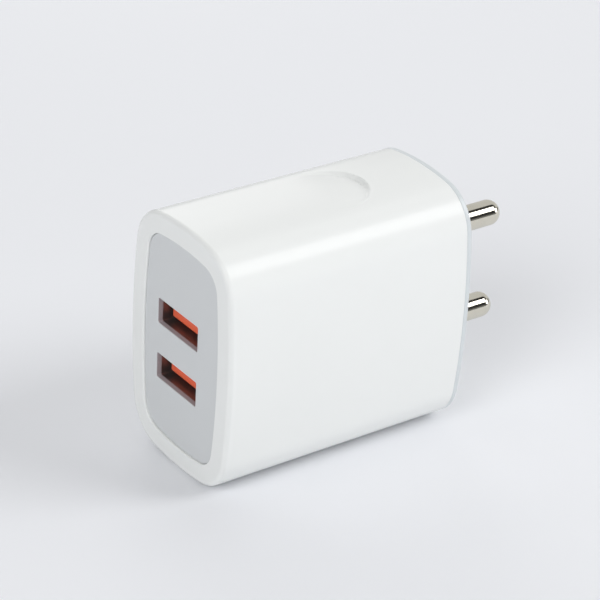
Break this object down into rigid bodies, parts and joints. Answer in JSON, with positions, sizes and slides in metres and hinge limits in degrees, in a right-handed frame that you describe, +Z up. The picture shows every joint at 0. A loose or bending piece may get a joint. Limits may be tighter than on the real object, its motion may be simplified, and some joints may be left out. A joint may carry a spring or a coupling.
{
  "type": "usb wall charger",
  "caption": "Mains charger block: rounded white plastic case, grey front panel with stacked USB-A ports, and round mains pins standing out of the seating face.",
  "frame": {"origin": "on the rear seating face, midway between the mains pins", "axes": "+Y along the mains pins out of the seating face, -Y is the front with the ports, +Z up with one port above the other, +X towards the large side that carries the main board"},
  "size_m": [0.0308, 0.0685, 0.047],
  "materials": {
    "white_case": "glossy moulded polycarbonate",
    "grey_panel": "fine satin moulding",
    "pale_grey_cover": "glossy moulded polycarbonate",
    "nickel": "nickel-plated turned brass",
    "port_steel": "stamped and folded sheet",
    "orange_insulator": "moulded insulator",
    "gold_plate": "gold-plated spring strip",
    "green_board": "solder mask over glass-fibre board",
    "solder": "bright solder",
    "tinned_wire": "tinned wire",
    "contact_brass": "bent spring strip",
    "ferrite": "ground ferrite",
    "black_bobbin": "moulded phenolic",
    "enamelled_copper": "close-wound enamelled wire",
    "insulated_wire": "close-wound insulated wire",
    "yellow_tape": "polyester tape",
    "capacitor_can": "drawn can",
    "capacitor_sleeve": "shrunk sleeve",
    "black_epoxy": "moulded epoxy",
    "green_lacquer": "dipped lacquer",
    "blue_lacquer": "dipped lacquer",
    "chip_ceramic": "fired ceramic",
    "clear_sheet": "polyester film"
  },
  "bodies": {
    "charger": {"housing": "white_case", "front_panel": "grey_panel", "rear_cover": "pale_grey_cover", "line_pin": "nickel", "neutral_pin": "nickel", "upper_port_shell": "port_steel", "lower_port_shell": "port_steel", "upper_port_tongue": "orange_insulator", "lower_port_tongue": "orange_insulator", "upper_port_tails": "gold_plate", "lower_port_tails": "gold_plate", "port_board": "green_board", "port_chip": "black_epoxy", "main_board": "green_board", "board_solder": "solder", "insulation_sheet": "clear_sheet", "transformer_core": "ferrite", "transformer_bobbin": "black_bobbin", "primary_winding": "enamelled_copper", "secondary_winding": "insulated_wire", "transformer_tape": "yellow_tape", "transformer_pins": "tinned_wire", "input_capacitor_a": "capacitor_can", "input_capacitor_b": "capacitor_can", "output_capacitor_a": "capacitor_can", "output_capacitor_b": "capacitor_can", "capacitor_sleeves": "capacitor_sleeve", "capacitor_leads": "tinned_wire", "choke_core": "ferrite", "choke_winding": "enamelled_copper", "bridge_rectifier": "black_epoxy", "bridge_legs": "tinned_wire", "fuse_resistor": "green_lacquer", "fuse_leads": "tinned_wire", "surge_varistor": "blue_lacquer", "safety_capacitor": "blue_lacquer", "disc_leads": "tinned_wire", "control_chip": "black_epoxy", "output_rectifier": "black_epoxy", "chip_resistors": "black_epoxy", "chip_capacitors": "chip_ceramic", "line_contact": "contact_brass", "neutral_contact": "contact_brass"},
    "upper_springs": {"upper_port_springs": "gold_plate"},
    "lower_springs": {"lower_port_springs": "gold_plate"}
  },
  "joints": [
    {"name": "upper_springs_bend", "type": "hinge", "parent": "charger", "child": "upper_springs", "pos_m": [-0.0013, -0.0388, 0.0038], "axis": [1, 0, 0], "range_deg": [0, 2.6], "stiffness_Nm_per_rad": 0.4},
    {"name": "lower_springs_bend", "type": "hinge", "parent": "charger", "child": "lower_springs", "pos_m": [-0.0013, -0.0388, -0.0069], "axis": [1, 0, 0], "range_deg": [0, 2.6], "stiffness_Nm_per_rad": 0.4}
  ]
}
